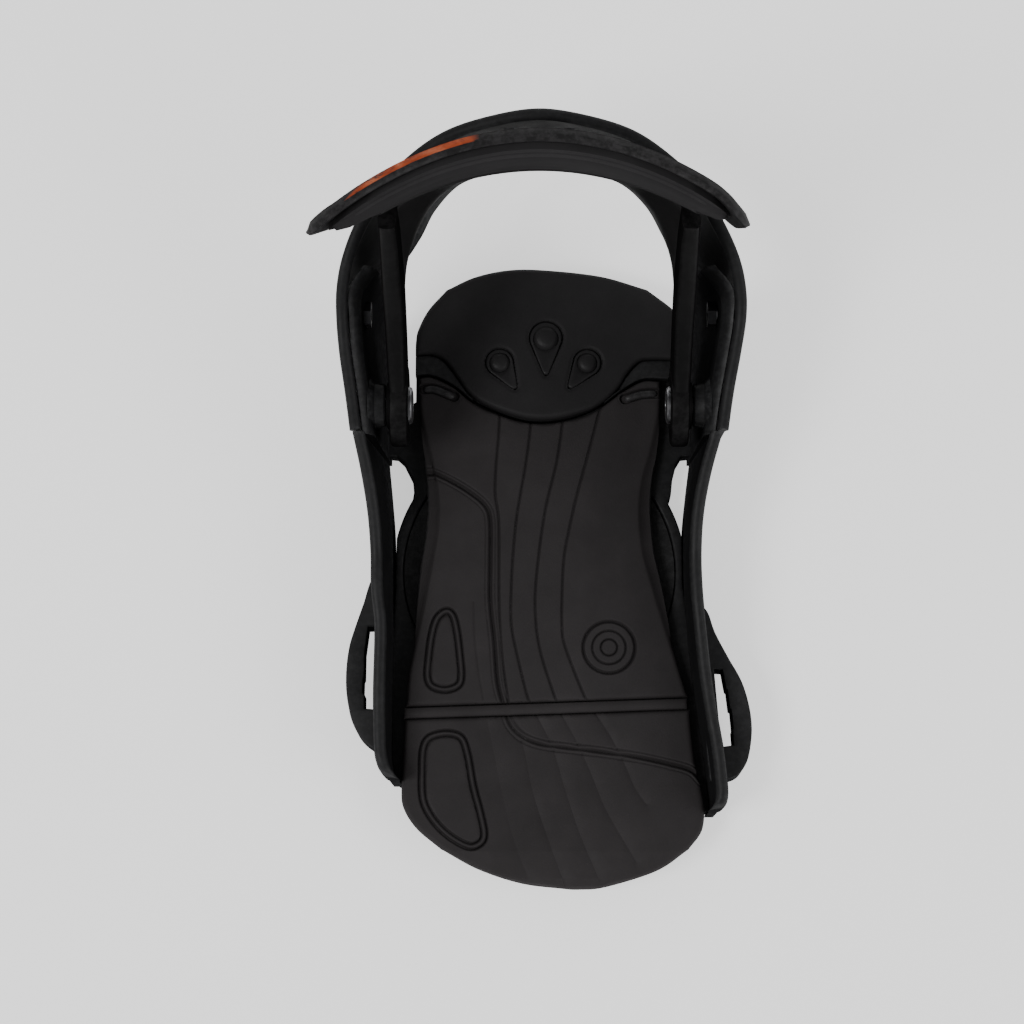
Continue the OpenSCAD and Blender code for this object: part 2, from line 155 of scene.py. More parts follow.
def extruded(name, outer, holes, z0, z1, material, body, slot, nodes, edge):
    """A flat plate with rounded edges from outlines in millimetres."""
    curve = bpy.data.curves.new(name, "CURVE")
    curve.dimensions = "2D"
    curve.fill_mode = "BOTH"
    curve.extrude = ((z1 - z0) / 2 - edge) * MM
    curve.bevel_depth = edge * MM
    curve.bevel_resolution = 2
    curve.offset = -edge * MM
    for ring in [outer] + list(holes):
        ring = np.asarray(ring, float)
        spline = curve.splines.new("POLY")
        spline.points.add(len(ring) - 1)
        spline.points.foreach_set("co", np.c_[ring * MM, np.zeros(len(ring)),
                                              np.ones(len(ring))].ravel())
        spline.use_cyclic_u = True
    temp = bpy.data.objects.new(name + "_outline", curve)
    link(temp)
    mesh = bpy.data.meshes.new_from_object(temp.evaluated_get(
        bpy.context.evaluated_depsgraph_get()))
    bpy.data.objects.remove(temp)
    mesh.name = name
    mesh.transform(Matrix.Translation((0, 0, (z0 + z1) / 2 * MM)))
    return place(name, cleaned(mesh, slivers=True), material, body, nodes, SOFT_EDGE)


def turned(name, profile, centre, axis, material, body, slot, nodes, steps=48):
    """A round piece from (radius, height) pairs along an axis, in millimetres."""
    turn = Vector((0, 0, 1)).rotation_difference(Vector(axis)).to_matrix()
    verts = []
    for r, h in profile:
        for k in range(steps):
            a = 2 * math.pi * k / steps
            verts.append(Vector(centre) + turn @ Vector((r * math.cos(a), r * math.sin(a), h)))
    return add_mesh(name, verts, loft_faces(len(profile), steps), material, body, slot, nodes,
                    SOFT_EDGE)


def arc(cx, cy, r, a0, a1, n):
    return [(cx + r * math.cos(math.radians(a)), cy + r * math.sin(math.radians(a)))
            for a in np.linspace(a0, a1, n)]


# ---- materials

def material(name):
    mat = bpy.data.materials.new(name)
    mat.use_nodes = True
    tree = mat.node_tree
    tree.nodes.clear()
    out = tree.nodes.new("ShaderNodeOutputMaterial")
    shader = tree.nodes.new("ShaderNodeBsdfPrincipled")
    tree.links.new(shader.outputs[0], out.inputs[0])
    coord = tree.nodes.new("ShaderNodeTexCoord")
    return mat, tree, shader, coord.outputs["Object"]


def noise(tree, where, scale, detail=4.0, rough=0.55, stretch=None):
    if stretch:
        mapping = tree.nodes.new("ShaderNodeMapping")
        mapping.inputs["Scale"].default_value = stretch
        tree.links.new(where, mapping.inputs["Vector"])
        where = mapping.outputs[0]
    node = tree.nodes.new("ShaderNodeTexNoise")
    node.inputs["Scale"].default_value = scale
    node.inputs["Detail"].default_value = detail
    node.inputs["Roughness"].default_value = rough
    tree.links.new(where, node.inputs["Vector"])
    return node.outputs["Fac"]


def ramp(tree, value, stops):
    node = tree.nodes.new("ShaderNodeValToRGB")
    elements = node.color_ramp.elements
    while len(elements) < len(stops):
        elements.new(0.5)
    for element, (at, colour) in zip(elements, stops):
        element.position = at
        element.color = (*colour, 1)
    tree.links.new(value, node.inputs[0])
    return node.outputs[0]


def grey(v):
    return (v, v, v)


def mixed(tree, factor, a, b):
    node = tree.nodes.new("ShaderNodeMix")
    node.data_type = "RGBA"
    tree.links.new(factor, node.inputs[0])
    for socket, value in ((node.inputs[6], a), (node.inputs[7], b)):
        if isinstance(value, bpy.types.NodeSocket):
            tree.links.new(value, socket)
        else:
            socket.default_value = (*value, 1)
    return node.outputs[2]


def maths(tree, kind, a, b):
    node = tree.nodes.new("ShaderNodeMath")
    node.operation = kind
    for socket, value in zip(node.inputs, (a, b)):
        if isinstance(value, bpy.types.NodeSocket):
            tree.links.new(value, socket)
        else:
            socket.default_value = value
    return node.outputs[0]


def bump(tree, shader, height, strength, depth, previous=None):
    node = tree.nodes.new("ShaderNodeBump")
    node.inputs["Strength"].default_value = strength
    node.inputs["Distance"].default_value = depth
    tree.links.new(height, node.inputs["Height"])
    if previous is not None:
        tree.links.new(previous, node.inputs["Normal"])
    tree.links.new(node.outputs[0], shader.inputs["Normal"])
    return node.outputs[0]


def gloss(tree, shader, level, low=0.0):
    """Satin gloss that fades out on the steep faces."""
    shader.inputs["Specular IOR Level"].default_value = level
    facing = tree.nodes.new("ShaderNodeLayerWeight")
    facing.inputs["Blend"].default_value = 0.5
    fade = ramp(tree, facing.outputs["Facing"], [(0.28, grey(level)), (0.68, grey(low))])
    tree.links.new(fade, shader.inputs["Specular IOR Level"])


def tint(base, k):
    return tuple(min(1.0, c * k) for c in base)


def plastic(name, base, rough=0.42, grain=1.0, wear=1.0, shine=0.2, low=0.0):
    """Moulded nylon: fine spark-eroded grain, cloudy gloss, paler worn edges."""
    mat, tree, shader, where = material(name)
    cloud = noise(tree, where, 38, 5, 0.6)
    colour = ramp(tree, cloud, [(0.3, tint(base, 0.78)), (0.7, tint(base, 1.25))])
    pointy = tree.nodes.new("ShaderNodeNewGeometry").outputs["Pointiness"]
    edge = ramp(tree, pointy, [(0.505, grey(0)), (0.56, grey(1))])
    scuff = ramp(tree, noise(tree, where, 420, 6, 0.7), [(0.42, grey(0)), (0.62, grey(1))])
    worn = maths(tree, "MULTIPLY", maths(tree, "MULTIPLY", edge, scuff), 0.5 * wear)
    colour = mixed(tree, worn, colour, tint(base, 4.2))
    tree.links.new(colour, shader.inputs["Base Color"])
    smear = noise(tree, where, 120, 6, 0.65, (1, 0.35, 1))
    tree.links.new(ramp(tree, smear, [(0.3, grey(rough - 0.07)), (0.72, grey(rough + 0.12))]),
                   shader.inputs["Roughness"])
    gloss(tree, shader, shine, low)
    fine = noise(tree, where, 2600, 3, 0.6)
    first = bump(tree, shader, fine, 0.35 * grain, 0.00012)
    bump(tree, shader, noise(tree, where, 160, 3, 0.5), 0.12, 0.0004, first)
    return mat


def foam(name, base, rough=0.62):
    """Moulded EVA: closed-cell pores, soft mottling, painted shade in hollows, a faint sheen."""
    mat, tree, shader, where = material(name)
    cloud = noise(tree, where, 55, 6, 0.62)
    colour = ramp(tree, cloud, [(0.28, tint(base, 0.86)), (0.72, tint(base, 1.14))])
    dust = ramp(tree, noise(tree, where, 900, 5, 0.75), [(0.63, grey(0)), (0.78, grey(0.5))])
    colour = mixed(tree, dust, colour, tint(base, 2.2))
    # painted shade: faces with low pointiness (grooves, hollows) are mixed towards a quarter of
    # the base colour
    pointy = tree.nodes.new("ShaderNodeNewGeometry").outputs["Pointiness"]
    colour = mixed(tree, ramp(tree, pointy, [(0.42, grey(1)), (0.49, grey(0))]), colour,
                   tint(base, 0.25))
    tree.links.new(colour, shader.inputs["Base Color"])
    tree.links.new(ramp(tree, noise(tree, where, 90, 4, 0.6),
                        [(0.3, grey(rough - 0.06)), (0.7, grey(rough + 0.08))]),
                   shader.inputs["Roughness"])
    gloss(tree, shader, 0.2)
    shader.inputs["Sheen Weight"].default_value = 0.015
    shader.inputs["Sheen Roughness"].default_value = 0.5
    cells = tree.nodes.new("ShaderNodeTexVoronoi")
    cells.inputs["Scale"].default_value = 1500
    tree.links.new(where, cells.inputs["Vector"])
    first = bump(tree, shader, cells.outputs["Distance"], 0.28, 0.00012)
    bump(tree, shader, noise(tree, where, 500, 4, 0.6), 0.2, 0.00015, first)
    return mat


def metal(name, base, rough):
    """Zinc-plated steel: turned scratches and darker blotches."""
    mat, tree, shader, where = material(name)
    tree.links.new(ramp(tree, noise(tree, where, 260, 6, 0.65),
                        [(0.3, tint(base, 0.7)), (0.7, tint(base, 1.15))]),
                   shader.inputs["Base Color"])
    shader.inputs["Metallic"].default_value = 1.0
    scratch = noise(tree, where, 900, 5, 0.7, (1, 6, 0.4))
    tree.links.new(ramp(tree, scratch, [(0.3, grey(rough - 0.08)), (0.75, grey(rough + 0.16))]),
                   shader.inputs["Roughness"])
    bump(tree, shader, scratch, 0.18, 0.00006)
    return mat


def rim_paint(mat):
    """Scraped orange paint on the marked stretch of the highback's rim."""
    tree = mat.node_tree
    shader = next(n for n in tree.nodes if n.type == "BSDF_PRINCIPLED")
    before = shader.inputs["Base Color"].links[0].from_socket
    where = next(n for n in tree.nodes if n.type == "TEX_COORD").outputs["Object"]
    mark = tree.nodes.new("ShaderNodeAttribute")
    mark.attribute_name = "mark"
    chips = ramp(tree, noise(tree, where, 260, 6, 0.72, (0.35, 1, 1)),
                 [(0.44, grey(0)), (0.5, grey(1))])
    solid = ramp(tree, mark.outputs["Fac"], [(0.66, grey(0)), (0.95, grey(1))])
    edge = ramp(tree, mark.outputs["Fac"], [(0.35, grey(0)), (0.62, grey(1))])
    amount = maths(tree, "MAXIMUM", solid, maths(tree, "MULTIPLY", edge, chips))
    hue = ramp(tree, noise(tree, where, 130, 5, 0.6),
               [(0.3, (0.16, 0.02, 0.01)), (0.55, (0.42, 0.07, 0.02)), (0.78, (0.6, 0.2, 0.1))])
    tree.links.new(mixed(tree, amount, before, hue), shader.inputs["Base Color"])


NYLON = plastic("moulded_nylon", (0.0165, 0.0165, 0.0172), 0.46)
HOOP = plastic("hoop_nylon", (0.0165, 0.0165, 0.0172), 0.48, shine=0.14, low=0.06)
BACK = plastic("highback_nylon", (0.0125, 0.012, 0.0124), 0.5, shine=0.14, low=0.02)
rim_paint(BACK)
DISC = plastic("disc_nylon", (0.02, 0.02, 0.0205), 0.5, 1.6, 0.6)
TRAY = plastic("tray_nylon", (0.03, 0.029, 0.03), 0.36, 0.7)
FOOT = foam("footbed_foam", (0.034, 0.0305, 0.0315))
HEEL = foam("heel_foam", (0.0225, 0.0215, 0.0225), 0.58)
GEL = foam("gel_rubber", (0.024, 0.023, 0.024), 0.45)
STEEL = metal("zinc_steel", (0.24, 0.24, 0.25), 0.36)
DARK_STEEL = metal("black_steel", (0.035, 0.035, 0.037), 0.5)
# painted shade: the highback's legs take a darker copy of its nylon so that they read as shaded
SHADED_LEG = plastic("leg_nylon_painted_shade", (0.006, 0.0058, 0.006), 0.5, shine=0.08)

# What a piece of the plate, the footbed's tray and the highback rides on and stands for
PLATE = (NYLON, "base", "nylon", ["base_plate"])
ON_TRAY = (TRAY, "footbed", "nylon", ["footbed_tray"])
ON_BACK = ("highback", "highback_nylon", ["highback_shell"])

# ---- outlines (mm)

FOLD_Y, FOLD_TURN, FOLD_Z = -51.7, math.tan(math.radians(2)), 16.5
TRAY_LOW, TRAY_TOP = 11, 12.9
HEEL_LOW, HEEL_TOP = 14.0, 18.2
PIVOT, HOOP_BOLT = (56, 50), (88, 62)     # y and z of the bolts along x


def fold_line(x, off):
    return FOLD_Y + FOLD_TURN * x + off


MAIN_LEFT = [(-50.5, -53.1), (-49.6, -41), (-47.3, -29), (-44, -12), (-41.3, 3), (-39.4, 15),
             (-39.2, 27), (-41, 39), (-44, 51), (-46.2, 62), (-46.6, 75.3)]
MAIN_RIGHT = [(56.2, -49.4), (52, -35), (47.6, -20), (43, -4), (40, 8), (39, 23), (40.4, 35),
              (43, 44), (45.4, 54), (46.6, 62), (46.6, 73.7)]
MAIN_BACK = [(-46.6, 75.3), (-41.5, 75.3), (-33.4, 71.3), (-27, 66), (-20.6, 62.4), (-9, 58.2),
             (1, 56.9), (11.5, 58.2), (21, 61.4), (28.4, 66.6), (32, 69.3), (40.1, 73.7),
             (46.6, 73.7)]
TOE_LEFT = [(-37, -107), (-46, -99.5), (-51, -92), (-52, -85), (-51.5, -70), (-51.2, -62),
            (-50.9, -58)]
TOE_RIGHT = [(56, -107), (61, -100), (62, -91), (61, -84), (59, -76), (57.5, -62), (57, -54.2)]
TOE_FRONT = [(-37, -107), (-23, -114.5), (-7, -119.7), (8, -121.6), (15, -122), (25, -121),
             (44, -115), (56, -107)]
HEEL_FRONT = [(-48, 84), (-41.6, 84.3), (-36.5, 81.5), (-31.8, 75.3), (-27.5, 69.3),
              (-21, 64.4), (-9, 59.8), (1.1, 58.4), (11.5, 59.8), (21.9, 63.4), (30, 70.1),
              (34.3, 76.7), (39, 81.4), (44, 82.2), (54, 82)]
HEEL_LEFT = [(-48, 84), (-47.9, 89), (-47, 94), (-43, 102), (-36, 110)]
HEEL_RIGHT = [(54, 82), (56, 88), (55, 96), (52, 102), (42, 110)]
HEEL_BACK = [(-36, 110), (-25, 115.2), (-12, 118), (2, 118), (24, 115.4), (42, 110)]

STRIPES = [
    [(-25.2, -13), (-24.8, -26), (-23.4, -38), (-20.8, -53), (-20, -57.6), (-17.2, -71),
     (-14.3, -85.3), (-9.8, -103.2), (-4.4, -117.5)],
    [(-15.2, 62), (-15.9, 50.2), (-16.7, 40.7), (-17, 29), (-15.6, 18), (-15.4, -12),
     (-14.3, -33), (-12, -50), (-10.9, -57.6), (-6.1, -68.5), (-3, -84.1), (2.3, -100.9),
     (9.4, -120.5)],
    [(-3.1, 59), (-4, 50.2), (-5.5, 39.5), (-8.6, 21.1), (-10.1, 5.5), (-10.8, -8.9),
     (-10.8, -20.4), (-9.2, -30.1), (-4.3, -50), (-0.6, -57.4), (4.8, -68.5), (9.4, -84.1),
     (14.9, -100.9), (22.4, -119)],
    [(9.3, 59), (6.8, 42.3), (2.2, 22.6), (-0.9, -0.7), (-1.6, -16.2), (0.3, -31.6),
     (6.3, -50.7), (8.8, -57), (13.2, -64.8), (19.2, -78.1), (25.1, -92.6), (35.8, -111.4)],
    [(23.9, 64), (20.3, 50.1), (17.2, 38.7), (14.1, 27.3), (11, 13.3), (9.4, 3.9),
     (8.7, -8.9), (8.6, -22), (9.8, -30.1), (17.3, -49.6), (21.1, -55.6), (27.1, -64.8),
     (32.4, -75.7), (36, -84.1), (40, -90)],
]
CHANNEL = [(-42.6, 38.3), (-34.3, 34.4), (-26.6, 29.7), (-20.8, 24.6), (-18.9, 18.7),
           (-18.8, 3), (-18.8, -12.3), (-17.2, -27.8), (-16, -43.1), (-13.8, -52),
           (-12.2, -57.4), (-10.3, -61), (-6.2, -64.8), (0.6, -67.4), (11.6, -68.9),
           (24, -70.4), (36.8, -72.3), (49.2, -75), (57.2, -77.4), (61.4, -81.6)]
PANEL_HIGH = [(-35.9, -15.4), (-39.9, -18.6), (-42.1, -25.5), (-43.3, -35), (-43.6, -41.8),
              (-41.6, -46), (-36.1, -47.7), (-30.7, -46.2), (-28.6, -42.2), (-29.2, -33.1),
              (-30.6, -22.8), (-32.5, -17)]
PANEL_LOW = [(-45, -69), (-45.4, -78.8), (-44.9, -88.2), (-42.2, -94.6), (-37.3, -100.6),
             (-31.3, -105.1), (-25.6, -107.3), (-21.1, -105.4), (-19.6, -101.3), (-21.2, -93.1),
             (-23.9, -82.9), (-26.2, -70.6), (-29, -64), (-35.2, -62.2), (-42.2, -64)]
EMBLEM = (26.5, -30.4)
CATCHES = [[(-45, 70.6), (-40.5, 70.6), (-33, 67.6)], [(45.6, 68.9), (40, 68.6), (33.2, 66.6)]]


# ---- foam pads

def coons(front, back, left, right, nu, nv):
    """A grid inside four boundary curves."""
    a, b = front(nu), back(nu)
    c, d = left(nv), right(nv)
    u, v = np.linspace(0, 1, nu)[None, :, None], np.linspace(0, 1, nv)[:, None, None]
    grid = (1 - v) * a[None] + v * b[None] + (1 - u) * c[:, None] + u * d[:, None]
    corner = ((1 - u) * (1 - v) * a[0] + u * (1 - v) * a[-1] + (1 - u) * v * b[0]
              + u * v * b[-1])
    return grid - corner


# How near a line the foam's faces are split, once for each value
REACHES = ((3.3, 3.1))


def refine(bm, lines):
    """Split the faces near the lines."""
    for reach in REACHES:
        bm.verts.index_update()
        flat = np.array([v.co[:2] for v in bm.verts])
        near = np.zeros(len(flat), bool)
        for line, closed in lines:
            near |= distance(flat, line, closed) < reach
        edges = [e for e in bm.edges if near[e.verts[0].index] and near[e.verts[1].index]]
        bmesh.ops.subdivide_edges(bm, edges=edges, cuts=1, use_grid_fill=True)


def foam_pad(name, grid, lines, height, bottom, mat, body, nodes, flare=None):
    """Top surface with its relief, rolled edge, side wall and underside."""
    nv, nu = grid.shape[:2]
    bm = bmesh.new()
    verts = [bm.verts.new((x, y, 0)) for x, y in grid.reshape(-1, 2)]
    for i in range(nv - 1):
        for j in range(nu - 1):
            k = i * nu + j
            bm.faces.new((verts[k], verts[k + 1], verts[k + nu + 1], verts[k + nu]))
    refine(bm, lines)
    flat = np.array([v.co[:2] for v in bm.verts])
    for v, z in zip(bm.verts, height(flat)):
        v.co.z = z
    loop = [e for e in bm.edges if e.is_boundary]
    for share in (0.15, 1.0):
        grown = bmesh.ops.extrude_edge_only(bm, edges=loop)["geom"]
        rim = [g for g in grown if isinstance(g, bmesh.types.BMVert)]
        loop = [g for g in grown if isinstance(g, bmesh.types.BMEdge) and g.is_boundary]
        at = np.array([v.co[:] for v in rim])
        foot = flare(at[:, :2]) if flare and share < 1 else at[:, :2]
        low = bottom(at[:, :2])
        for v, (x, y), z0, z1 in zip(rim, foot, at[:, 2], low):
            v.co = (x, y, z1 + (z0 - z1) * (1 - share))
    bmesh.ops.holes_fill(bm, edges=loop)
    bmesh.ops.recalc_face_normals(bm, faces=bm.faces)
    bmesh.ops.scale(bm, vec=(MM, MM, MM), verts=bm.verts)
    mesh = bpy.data.meshes.new(name)
    bm.to_mesh(mesh)
    bm.free()
    piece = place(name, mesh, mat, body, nodes, 50)
    return piece


def rolled(points, ring, radius):
    """The drop of a rounded edge."""
    d = distance(points, ring, closed=True)
    t = np.clip(1 - d / radius, 0, 1)
    return -radius * 0.75 * (1 - np.sqrt(np.clip(1 - t * t, 0, 1)))


def groove(d, half, depth):
    """The drop of a groove at distance d from its middle line."""
    return -depth * ease(1 - d / half)


def footbed_relief(p):
    """Wave lines, the long channel and the two framed panels."""
    z = np.zeros(len(p))
    toe = ease((-p[:, 1] - 48) / 14)
    for k, line in enumerate(STRIPES):
        path = smooth(line, 90)
        d = distance(p, path)
        side = p[:, 0] - np.interp(-p[:, 1], -path[:, 1], path[:, 0])
        flank = np.where(side < 0, 2.6, 3.4)
        pillow = -np.exp(-d / flank)
        z += toe * 1.15 * pillow * (0.5 if k == 0 else 1)
        z += (1 - toe) * (0.3 * pillow + groove(d, 0.8, 0.7)) * (0.45 if k == 0 else 1)
    d_channel = distance(p, smooth(CHANNEL, 120))
    z = np.where(d_channel < 1.5, z * ease((d_channel - 0.3) / 1.2), z)
    z += groove(d_channel, 1.2, 1.5) - 0.15 * np.exp(-d_channel / 2.5)
    z += groove(np.abs(d_channel - 1.9), 0.5, 0.3)
    for panel in (PANEL_HIGH, PANEL_LOW):
        ring = smooth(panel, 90, closed=True)
        d = distance(p, ring, closed=True)
        within = inside(p, ring)
        z = np.where(within & (d > 0.4), 0.0, z)
        z += groove(d, 0.85, 1.1)
        z += np.where(within, groove(np.abs(d - 2.2), 0.8, 1.05), 0)
        z += np.where(within & (d < 2.1), 0.3 * np.sin(np.clip(d / 2.1, 0, 1) * math.pi), 0)
        z += np.where(within & (d > 2.6), -0.12, 0)
    return z


def main_height(p):
    ring = np.vstack([smooth(MAIN_RIGHT, 60), smooth(MAIN_BACK, 120)[::-1],
                      smooth(MAIN_LEFT, 60)[::-1]])
    z = FOLD_Z + footbed_relief(p)
    r = np.hypot(p[:, 0] - EMBLEM[0], p[:, 1] - EMBLEM[1])
    z = np.where(r < 10.6, FOLD_Z - 0.05, z)
    z += groove(np.abs(r - 9.9), 0.95, 1.2)
    z += groove(np.abs(r - 6.4), 0.7, 0.8) + groove(np.abs(r - 3.1), 0.7, 0.7)
    z += np.where(r < 3, 0.25, 0)
    # recesses for the catches at the two back corners
    for line in CATCHES:
        d = distance(p, smooth(line, 30))
        z += -1.6 * ease((2.3 - d) / 0.7) + groove(np.abs(d - 2.6), 0.5, 0.2)
    return z + rolled(p, ring, 1.3)


def toe_height(p):
    ring = np.vstack([smooth(TOE_FRONT, 90), smooth(TOE_RIGHT, 60)[1:],
                      smooth(TOE_LEFT, 60)[::-1][:-1]])
    base = np.interp(-p[:, 1], [50, 62, 82, 108, 118, 123], [16.5, 16.5, 17.2, 19.2, 18.4, 16.4])
    return base + footbed_relief(p) + rolled(p, ring, 1.8)


def waist_flare(p):
    """The tray's outline stands out past the foam at the waist."""
    k = 1 + 0.11 * np.clip(np.cos(np.radians(2 * (p[:, 1] - 15))), 0, 1) * (
        np.abs(p[:, 1] - 15) < 45)
    return np.c_[p[:, 0] * k, p[:, 1]]


ring_of = lambda line, n, closed=False: (smooth(line, n, closed), closed)
RELIEF_LINES = ([ring_of(s, 60) for s in STRIPES] + [ring_of(CHANNEL, 90)]
                + [ring_of(s, 60, True) for s in (PANEL_HIGH, PANEL_LOW)])
EMBLEM_LINES = [(np.array(arc(*EMBLEM, r, 0, 350, 36)), True) for r in (10.3, 6.6, 3.1)]
run = lambda line: lambda n: smooth(line, n)
main_grid = coons(lambda n: straight([MAIN_LEFT[0], MAIN_RIGHT[0]], n),
                  run(MAIN_BACK), run(MAIN_LEFT), run(MAIN_RIGHT), 125, 150)
foam_pad("footbed_foam", main_grid,
         RELIEF_LINES + EMBLEM_LINES + [ring_of(c, 20) for c in CATCHES], main_height,
         lambda p: np.full(len(p), TRAY_TOP), FOOT, "footbed", ["footbed_pad"],
         flare=lambda p: p + (waist_flare(p) - p) * 0.8)
toe_grid = coons(run(TOE_FRONT), lambda n: straight([TOE_LEFT[-1], TOE_RIGHT[-1]], n),
                 run(TOE_LEFT), run(TOE_RIGHT), 135, 85)
foam_pad("toe_foam", toe_grid, RELIEF_LINES, toe_height,
         lambda p: np.interp(-p[:, 1], [50, 62, 82, 108, 123],
                             [TRAY_TOP, TRAY_TOP, 13.4, 15.6, 14.4]),
         FOOT, "base", ["toe_pad"])


def drop_ring(x, y, long, r, turn, n):
    """A drop's outline: a round head at (x, y) and a point below it."""
    pts = arc(0, 0, r, -22, 202, 26) + [(-1.3, -long + 1), (0, -long), (1.3, -long + 1)]
    pts = smooth(pts, n, closed=True)
    a = math.radians(turn)
    return np.c_[x + pts[:, 0] * math.cos(a) - pts[:, 1] * math.sin(a),
                 y + pts[:, 0] * math.sin(a) + pts[:, 1] * math.cos(a)]


# Heel inserts: node, x, y, length, head radius, turn in degrees, button radius
DROPS = [("heel_gel_centre", 2.6, 90.6, 14.6, 6.2, 0, 4.6),
         ("heel_gel_left", -15.4, 80.8, 12, 5.2, 31, 3.7),
         ("heel_gel_right", 18.6, 80.6, 12, 5.2, -35, 3.7)]


def heel_height(p):
    ring = np.vstack([smooth(HEEL_FRONT, 120), smooth(HEEL_RIGHT, 50)[1:],
                      smooth(HEEL_BACK, 80)[::-1][1:],
                      smooth(HEEL_LEFT, 50)[::-1][1:-1]])
    z = np.full(len(p), HEEL_TOP)
    for _, x, y, long, r, turn, _ in DROPS:
        drop = drop_ring(x, y, long + 0.6, r + 0.6, turn, 60)
        d = distance(p, drop, closed=True)
        within = inside(p, drop)
        z += np.where(within, -1.9 * ease(d / 0.5), 0) - 0.3 * ease(1 - d / 1.4) * (~within)
    return z + rolled(p, ring, 1.6)


heel_grid = coons(run(HEEL_FRONT), run(HEEL_BACK), run(HEEL_LEFT), run(HEEL_RIGHT), 120, 70)
foam_pad("heel_foam", heel_grid,
         [(drop_ring(x, y, long + 0.6, r + 0.6, turn, 40), True)
          for _, x, y, long, r, turn, _ in DROPS], heel_height,
         lambda p: np.full(len(p), HEEL_LOW), HEEL, "base", ["heel_pad"])

for node, x, y, long, r, turn, knob in DROPS:
    ring = drop_ring(x, y, long, r, turn, 64)
    mid = np.array([x, y])
    a = math.radians(turn)
    heart = mid + np.array([math.sin(a), -math.cos(a)]) * long * 0.2
    verts, rows = [], 0
    # side, rounded rim, floor of the drop, then the round button
    for k, z in ((1, 16.3), (1, 17.6), (0.96, 17.95), (0.9, 18.05), (0.8, 18.0)):
        verts += [np.r_[heart + (q - heart) * k, z] for q in ring]
        rows += 1
    angles = np.arctan2(*(ring - mid).T[::-1])
    for k, z in ((1.12, 17.85), (1.06, 17.6), (1.0, 17.75), (0.94, 18.45), (0.75, 19.0),
                 (0.45, 19.25), (0.1, 19.32)):
        verts += [np.r_[mid + knob * k * np.array([math.cos(t), math.sin(t)]), z] for t in angles]
        rows += 1
    add_mesh(node + "_insert", verts, loft_faces(rows, len(ring)), GEL, "base", "gel", [node],
             ROUND_EDGE)

# ---- flat plastic parts

left, right = smooth(MAIN_LEFT, 50), smooth(MAIN_RIGHT, 50)
tray_ring = np.vstack([waist_flare(right), smooth(MAIN_BACK, 90)[::-1][1:],
                       waist_flare(left)[::-1][1:]])
extruded("footbed_tray_shell", tray_ring, [], TRAY_LOW, TRAY_TOP, *ON_TRAY, 0.5)

CATCH_ROWS, CATCH_RING, CATCH_RADIUS, CATCH_Z = 24, 14, 1.55, 15.1
for side, line in zip(("left", "right"), CATCHES):
    path = smooth(line, CATCH_ROWS)
    last = CATCH_ROWS - 1
    verts = []
    for k, (x, y) in enumerate(path):
        a, b = path[max(k - 1, 0)], path[min(k + 1, last)]
        along = (b - a) / norm(b - a)
        fat = CATCH_RADIUS * math.sqrt(max(0.02, 1 - abs(2 * k / last - 1) ** 6))
        for angle in np.linspace(0, 2 * math.pi, CATCH_RING, endpoint=False):
            off = fat * math.cos(angle)
            verts.append((x - along[1] * off, y + along[0] * off,
                          CATCH_Z + 0.9 * fat * math.sin(angle)))
    add_mesh("footbed_catch_" + side, verts, loft_faces(CATCH_ROWS, CATCH_RING), *ON_TRAY,
             ROUND_EDGE)

# The strip in the fold: a wall, a chamfer, and a top that dips where a wave line ends
n = 90
xs = np.linspace(-51.3, 56, n)
ring = np.array([(x, fold_line(x, -4.2)) for x in xs]
                + [(x, fold_line(x, -0.2)) for x in xs[::-1]])
verts = [(x, y, 10) for x, y in ring] + [(x, y, 15.9) for x, y in ring]
inner = [(x, fold_line(x, -3.75)) for x in np.linspace(-51, 55.7, n)] + [
    (x, fold_line(x, -0.65)) for x in np.linspace(55.7, -51, n)]
dips = [min(float(np.min(np.hypot(*(smooth(line, 140) - np.array(q)).T)))
            for line in STRIPES[1:]) for q in inner]
verts += [(x, y, 16.4 - 0.45 * float(ease(1 - d / 1.1))) for (x, y), d in zip(inner, dips)]
faces = [(j, (j + 1) % (2 * n), 2 * n + (j + 1) % (2 * n), 2 * n + j) for j in range(2 * n)]
faces += [(2 * n + j, 2 * n + (j + 1) % (2 * n), 4 * n + (j + 1) % (2 * n), 4 * n + j)
          for j in range(2 * n)]
faces += [(4 * n + j, 4 * n + j + 1, 4 * n + 2 * n - 2 - j, 4 * n + 2 * n - 1 - j)
          for j in range(n - 1)]
faces += [(j, j + 1, 2 * n - 2 - j, 2 * n - 1 - j) for j in range(n - 1)]
add_mesh("fold_strip", verts, faces, FOOT, "base", "gel", ["crease_strip"], ROUND_EDGE)

# ---- base plate

RECESS = 56.5                  # the floor's edge round the disc
floor_ring = np.array(
    [(-57, -76), (-56.2, -79.5), (-53, -82.5), (-20, -85), (30, -92), (62, -93), (65.4, -91.5),
     (66, -88), (66, -80), (63, -60), (60, -40), (57, -20), (55, -5), (55, 12.8)]
    + arc(0, 0, RECESS, 13.5, 28, 8)
    + [(50.9, 30), (51.5, 36), (53, 42), (55, 45.4), (60.5, 46), (60.5, 60), (53, 65), (54, 80),
       (56, 88), (55, 96), (52, 102), (42, 110), (24, 115.4), (2, 118), (-12, 118),
       (-25, 115.2), (-36, 110), (-43, 102), (-47, 94), (-48, 84), (-48, 67), (-60.5, 60),
       (-60.5, 46), (-55, 45.4), (-52.5, 43), (-49, 36), (-48.5, 31)]
    + arc(0, 0, RECESS, 150, 166.5, 8)
    + [(-55, 12.8), (-55.5, -12), (-57, -40)])
for name, z0, z1, bore, edge in (("base_floor_low", 0, 4, 46.3, 0.5),
                                 ("base_floor_high", 4, 10, 52.4, 0.8)):
    hole = np.array(arc(0, 0, bore, 0, 360 * (1 - 1 / 128), 128))
    extruded(name, floor_ring, [hole], z0, z1, *PLATE, edge)
